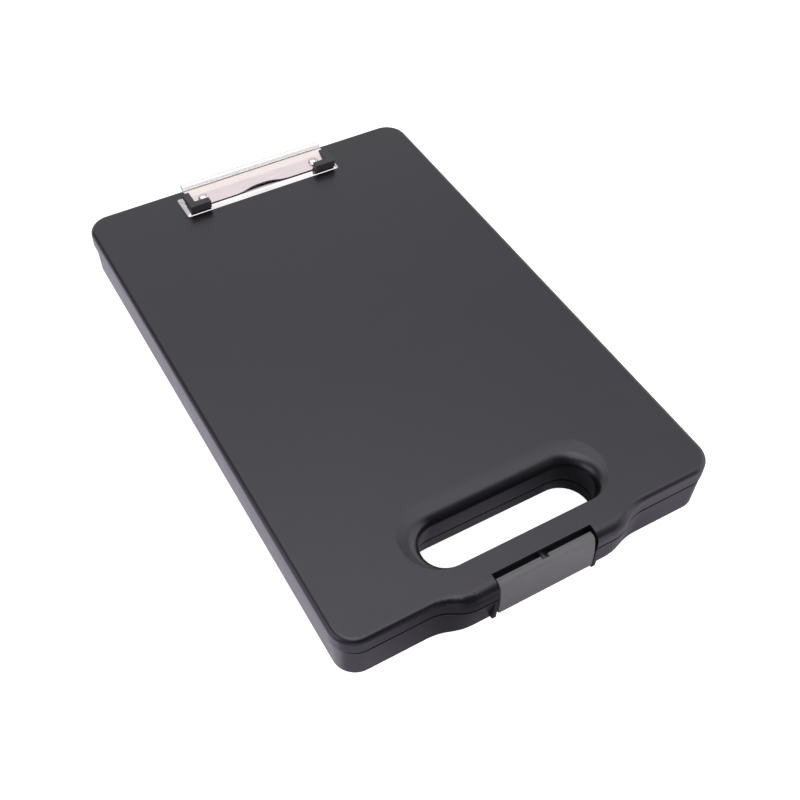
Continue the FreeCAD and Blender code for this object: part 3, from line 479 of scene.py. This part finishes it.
# %% [markdown]
# ## The clip's sheets
# A stamped sheet has a burr on one side and a soft edge on the other. A bevel of a fraction
# of the sheet's thickness suggests both, and it stays inside the sheet.

# %% Clip sheets
PAN_EDGE = 0.0003
LEVER_EDGE = 0.00015

clip_plate = merged_copy("clip_base_plate", "clip_pan")
soften(clip_plate, PAN_EDGE)
settle(clip_plate, "lid", ["clip_base_plate"], "nickel_sheet", nickel)

clip_lever = merged_copy("clip_lever", "clip_lever_sheet")
soften(clip_lever, LEVER_EDGE)
settle(clip_lever, "lever", ["clip_lever"], "nickel_sheet", lever_nickel)

# %% [markdown]
# ## Bosses on the lever
# Two low round bosses are pressed into the lever beside its caps, to stiffen it. Each is a
# flattened half ball that is turned to the slope of the sheet, which is rounder than a cone
# and needs no sculpting.

# %% Bosses
BOSS_RADIUS = 0.0037
BOSS_FLATNESS = 0.45
BOSS_ACROSS = 0.0418
BOSS_ALONG = 0.1614
BOSS_HEIGHT = 0.0383
LEVER_SLOPE = radians(-14.3)
BOSS_SMOOTH_BELOW = radians(40)


def stamp_boss(name, across):
    """A low round boss on the lever: a ball, flattened, with its lower half taken off."""
    place = (across, BOSS_ALONG, BOSS_HEIGHT)
    bpy.ops.object.select_all(action="DESELECT")
    bpy.ops.mesh.primitive_uv_sphere_add(segments=48, ring_count=24, radius=BOSS_RADIUS, location=place)
    boss = bpy.context.active_object
    boss.name = name
    bpy.ops.object.mode_set(mode="EDIT")
    bpy.ops.mesh.select_all(action="SELECT")
    bpy.ops.transform.resize(value=(1, 1, BOSS_FLATNESS))
    bpy.ops.mesh.bisect(plane_co=place, plane_no=(0, 0, 1), clear_inner=True, use_fill=True)
    bpy.ops.mesh.select_all(action="SELECT")
    bpy.ops.transform.rotate(value=LEVER_SLOPE, orient_axis="X", center_override=place)
    bpy.ops.object.mode_set(mode="OBJECT")
    bpy.ops.object.transform_apply(location=True, rotation=True, scale=True)
    bpy.ops.object.shade_smooth_by_angle(angle=BOSS_SMOOTH_BELOW)
    dress(boss, boss_nickel)
    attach(boss, "lever")
    return boss


for side, sign in (("left", -1), ("right", 1)):
    boss = stamp_boss(f"lever_boss_{side}", sign * BOSS_ACROSS)
    print(boss.name, [round(value, 4) for value in boss.dimensions])

# %% [markdown]
# ## Corner caps
# The caps are pushed over the lever's corners. Soft plastic is rounder than sheet metal, so
# they get a wider bevel of three segments.

# %% Corner caps
CAP_EDGE = 0.0005
CAP_SEGMENTS = 3

for side in ("left", "right"):
    grip = merged_copy(f"clip_grip_{side}", f"corner_grip_{side}")
    soften(grip, CAP_EDGE, CAP_SEGMENTS)
    settle(grip, "lever", [f"clip_grip_{side}"], "grip_rubber", grip_rubber)

# %% [markdown]
# ## Pins, springs, rivets and washers
# These small steel pieces are round already, and hardly any of them shows. They keep the
# frame's own mesh, which is the simplest way, and only get a finish.

# %% Dress the small steel pieces
finish_of = {
    "latch_pin": wire, "hinge_pin_left": wire, "hinge_pin_right": wire, "clip_pivot_rod": wire,
    "clip_spring_left": spring_wire, "clip_spring_right": spring_wire,
    "clip_rivet_left": rivet_steel, "clip_rivet_right": rivet_steel,
    "clip_rivet_washer_left": rivet_steel, "clip_rivet_washer_right": rivet_steel,
}
for node, finish in finish_of.items():
    dress(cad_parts[node], finish)
print("dressed", len(finish_of), "nodes")

# %% [markdown]
# ## The floor
# The picture is a product shot, white all round. One large plane just below the case's
# underside carries it, and it is not attached to the object.

# %% Floor
FLOOR_SIZE = 6
FLOOR_HEIGHT = -0.0004

bpy.ops.object.select_all(action="DESELECT")
bpy.ops.mesh.primitive_plane_add(size=FLOOR_SIZE, location=(0, 0, FLOOR_HEIGHT))
floor = bpy.context.active_object
floor.name = "studio_floor"
print("floor:", floor.name)

# %% [markdown]
# ## Ramps that only reflections see
# A dark satin object shows mostly what it reflects, so floor and room play two parts: plain
# white for the camera, and a studio for reflections. Each light or dark area of the studio
# is a ramp along one axis, and ramps are joined by simple sums. Real cards round the object
# would stand in the picture.

# %% Helpers: ramps and sums
def ramps_along(owner, parts, table):
    """One ramp for each row of a table: its axis, its two ends and its level at each end."""
    return {name: spread(owner, parts[axis], low, high, start, end)
            for name, (axis, start, end, low, high) in table.items()}


def join(owner, how, first, *others):
    """Join values with one kind of sum: MULTIPLY, ADD, SUBTRACT or MAXIMUM."""
    for other in others:
        node = owner.node_tree.nodes.new("ShaderNodeMath")
        node.operation = how
        for slot, value in zip(node.inputs, (first, other)):
            if isinstance(value, (int, float)):
                slot.default_value = value
            else:
                owner.node_tree.links.new(value, slot)
        first = node.outputs["Value"]
    return first


print("helpers:", ramps_along.__name__, join.__name__)

# %% [markdown]
# ## The floor's finish
# For the camera the floor is white, and it still darkens a little where the case shades it.
# For reflections it is a set of cards, as a photographer lays them out: bright on the left,
# dimmer in front, and dark below the grip hole, a painted shadow of the case that only reflections see.

# %% Finish: white floor
FLOOR_WHITE = 0.8
WHITE = (1, 1, 1)
REFLECTED_VIOLET = (1, 0.945, 1.09)
# Each ramp: its axis, where it starts and ends in metres, and its level at each end.
FLOOR_RAMPS = {
    "left_edge": ("X", -0.11, -0.10, 1.0, 0.3),
    "beside": ("Y", -0.182, -0.172, 0.2, 1.0),
    "near_card": ("X", -0.11, -0.06, 0.54, 0.19),
    "right_card": ("X", -0.05, 0.09, 0.0, 1.0),
    "step": ("Y", -0.207, -0.192, 1.0, 0.45),
    # The two hole ramps set the painted shadow below the grip hole, darker at its near side and right
    # end.
    "hole_shadow_far_side": ("Y", -0.153, -0.147, 0.04, 0.24),
    "hole_shadow_left_end": ("X", 0.005, 0.05, 1.0, 0.25),
}
HOLE_CENTRE = 0.154
HOLE_HALF_LENGTH = 0.066
HOLE_HALF_WIDTH = 0.024
HOLE_FADE = 1.2


def hole_shadow_mask(finish, place):
    """The mask of the painted shadow: one below the grip hole and nought round it, with an oval edge.
    """
    nodes = finish.node_tree.nodes
    oval = nodes.new("ShaderNodeMapping")
    oval.inputs["Location"].default_value = (0, HOLE_CENTRE / HOLE_HALF_WIDTH, 0)
    oval.inputs["Scale"].default_value = (1 / HOLE_HALF_LENGTH, 1 / HOLE_HALF_WIDTH, 0)
    finish.node_tree.links.new(place, oval.inputs["Vector"])
    reach = nodes.new("ShaderNodeVectorMath")
    reach.operation = "LENGTH"
    finish.node_tree.links.new(oval.outputs["Vector"], reach.inputs[0])
    return spread(finish, reach.outputs["Value"], 1.0, 0.0, start=1.0, end=HOLE_FADE)


def white_floor():
    """White for the camera; reflections see cards on it, and a painted shadow below the hole."""
    finish, shader = start_finish("white_floor", metal=0.0, rough=0.9)
    shader.inputs["Specular IOR Level"].default_value = 0.0
    links = finish.node_tree.links
    ray = finish.node_tree.nodes.new("ShaderNodeLightPath").outputs
    violet = tint(finish, ray["Is Glossy Ray"], WHITE, REFLECTED_VIOLET)
    links.new(violet, shader.inputs["Emission Color"])
    place, parts = split_place(finish, "Object")
    ramp = ramps_along(finish, parts, FLOOR_RAMPS)
    left_card = join(finish, "MULTIPLY", ramp["left_edge"], ramp["beside"])
    right_card = join(finish, "MULTIPLY", ramp["right_card"], ramp["step"])
    cards = join(finish, "MAXIMUM", left_card, ramp["near_card"], right_card)
    inside = hole_shadow_mask(finish, place)
    outside = join(finish, "SUBTRACT", 1.0, inside)
    # The painted shadow below the grip hole: a dim level that only reflections see.
    painted_hole_shadow = join(finish, "MULTIPLY", ramp["hole_shadow_far_side"], ramp["hole_shadow_left_end"], inside)
    seen_in_mirrors = join(finish, "ADD", join(finish, "MULTIPLY", cards, outside), painted_hole_shadow)
    links.new(blend(finish, ray["Is Glossy Ray"], FLOOR_WHITE, 0.0), shader.inputs["Base Color"])
    mirrored = join(finish, "MULTIPLY", seen_in_mirrors, ray["Is Glossy Ray"])
    seen = join(finish, "MULTIPLY", ray["Is Camera Ray"], FLOOR_WHITE)
    links.new(join(finish, "ADD", mirrored, seen), shader.inputs["Emission Strength"])
    return finish


floor.data.materials.append(white_floor())
print("finish:", floor.active_material.name, "with", len(FLOOR_RAMPS), "ramps")

# %% [markdown]
# ## The white room
# The room follows the same idea. The camera sees plain white. Reflections see a bright room
# with a dark screen ahead of the latch, a dim left side, a bright window on the right and a
# bright band overhead. Matte surfaces see a soft fill that is stronger from the front. An
# image of a studio would do the same, but ramps need no file and are easy to shift.

# %% The white room
SCREEN_LEVEL = 0.015
ROOM_LEVEL = 0.9
FILL_LEVEL = 0.52
FRONT_FILL_LEVEL = 1.8
# Each ramp: its axis, the two directions between which it runs, and its level at each.
ROOM_RAMPS = {
    "ahead": ("Y", -0.7, -0.35, 1.0, 0.0),
    "screen_left": ("X", -0.6, -0.35, 0.0, 1.0),
    "screen_right": ("X", 0.48, 0.6, 1.0, 0.0),
    "left": ("X", -0.52, -0.27, 0.3, 1.0),
    "right": ("X", 0.42, 0.56, 1.0, 0.72),
    "window": ("X", 0.63, 0.74, 1.0, 2.2),
    "rising": ("Z", 0.77, 0.84, 1.0, 2.2),
    "falling": ("Z", 0.89, 0.94, 1.0, 0.75),
    "fill": ("Y", -0.7, -0.2, FRONT_FILL_LEVEL, FILL_LEVEL),
}


def white_room():
    """White for the camera, a studio for reflections, and a soft fill for matte surfaces."""
    world = bpy.data.worlds.new("white_room")
    world.use_nodes = True
    background = world.node_tree.nodes["Background"]
    parts = split_place(world, "Generated")[1]
    ramp = ramps_along(world, parts, ROOM_RAMPS)
    screen = join(world, "MULTIPLY", ramp["ahead"], ramp["screen_left"], ramp["screen_right"])
    wall = blend(world, screen, ROOM_LEVEL, SCREEN_LEVEL)
    sides = join(world, "MULTIPLY", ramp["left"], ramp["right"], ramp["window"])
    overhead = join(world, "MULTIPLY", ramp["rising"], ramp["falling"])
    studio = join(world, "MULTIPLY", wall, sides, overhead)
    ray = world.node_tree.nodes.new("ShaderNodeLightPath").outputs
    matte = blend(world, ray["Is Glossy Ray"], 1.0, 0.0)
    mirrored = join(world, "MULTIPLY", studio, ray["Is Glossy Ray"])
    level = join(world, "ADD", mirrored, join(world, "MULTIPLY", ramp["fill"], matte))
    seen = join(world, "MAXIMUM", ray["Is Camera Ray"], level)
    background.inputs["Color"].default_value = (*WHITE, 1)
    world.node_tree.links.new(seen, background.inputs["Strength"])
    return world


scene.world = white_room()
print("room:", scene.world.name, "with", len(ROOM_RAMPS), "ramps")

# %% [markdown]
# ## The lamps
# Two large soft lamps do the rest: one high above the near left corner, and one of about the
# same strength low on the left, which shapes the left wall. A sun or a point lamp would draw
# hard shadows and small hot spots, and the photograph has neither.

# %% Lamps
SOFT_BOXES = {
    "top_light": {"place": (-0.35, -0.35, 1.6), "target": (0, -0.1, 0), "size": (1.2, 1.2), "power": 5},
    "left_light": {"place": (-1.6, 0.1, 0.55), "target": (0, 0, 0), "size": (1.6, 0.9), "power": 6},
}


def soft_box(name, place, target, size, power):
    """A rectangular lamp that faces a point."""
    lamp_data = bpy.data.lights.new(name, "AREA")
    lamp_data.shape = "RECTANGLE"
    lamp_data.size, lamp_data.size_y = size
    lamp_data.energy = power
    lamp = bpy.data.objects.new(name, lamp_data)
    scene.collection.objects.link(lamp)
    direction = Vector(target) - Vector(place)
    facing = direction.to_track_quat("-Z", "Y").to_matrix().to_4x4()
    lamp.matrix_world = Matrix.Translation(place) @ facing


for name, box in SOFT_BOXES.items():
    soft_box(name, **box)
scene.view_settings.view_transform = "Standard"
print("lamps:", [item.name for item in bpy.data.lights])
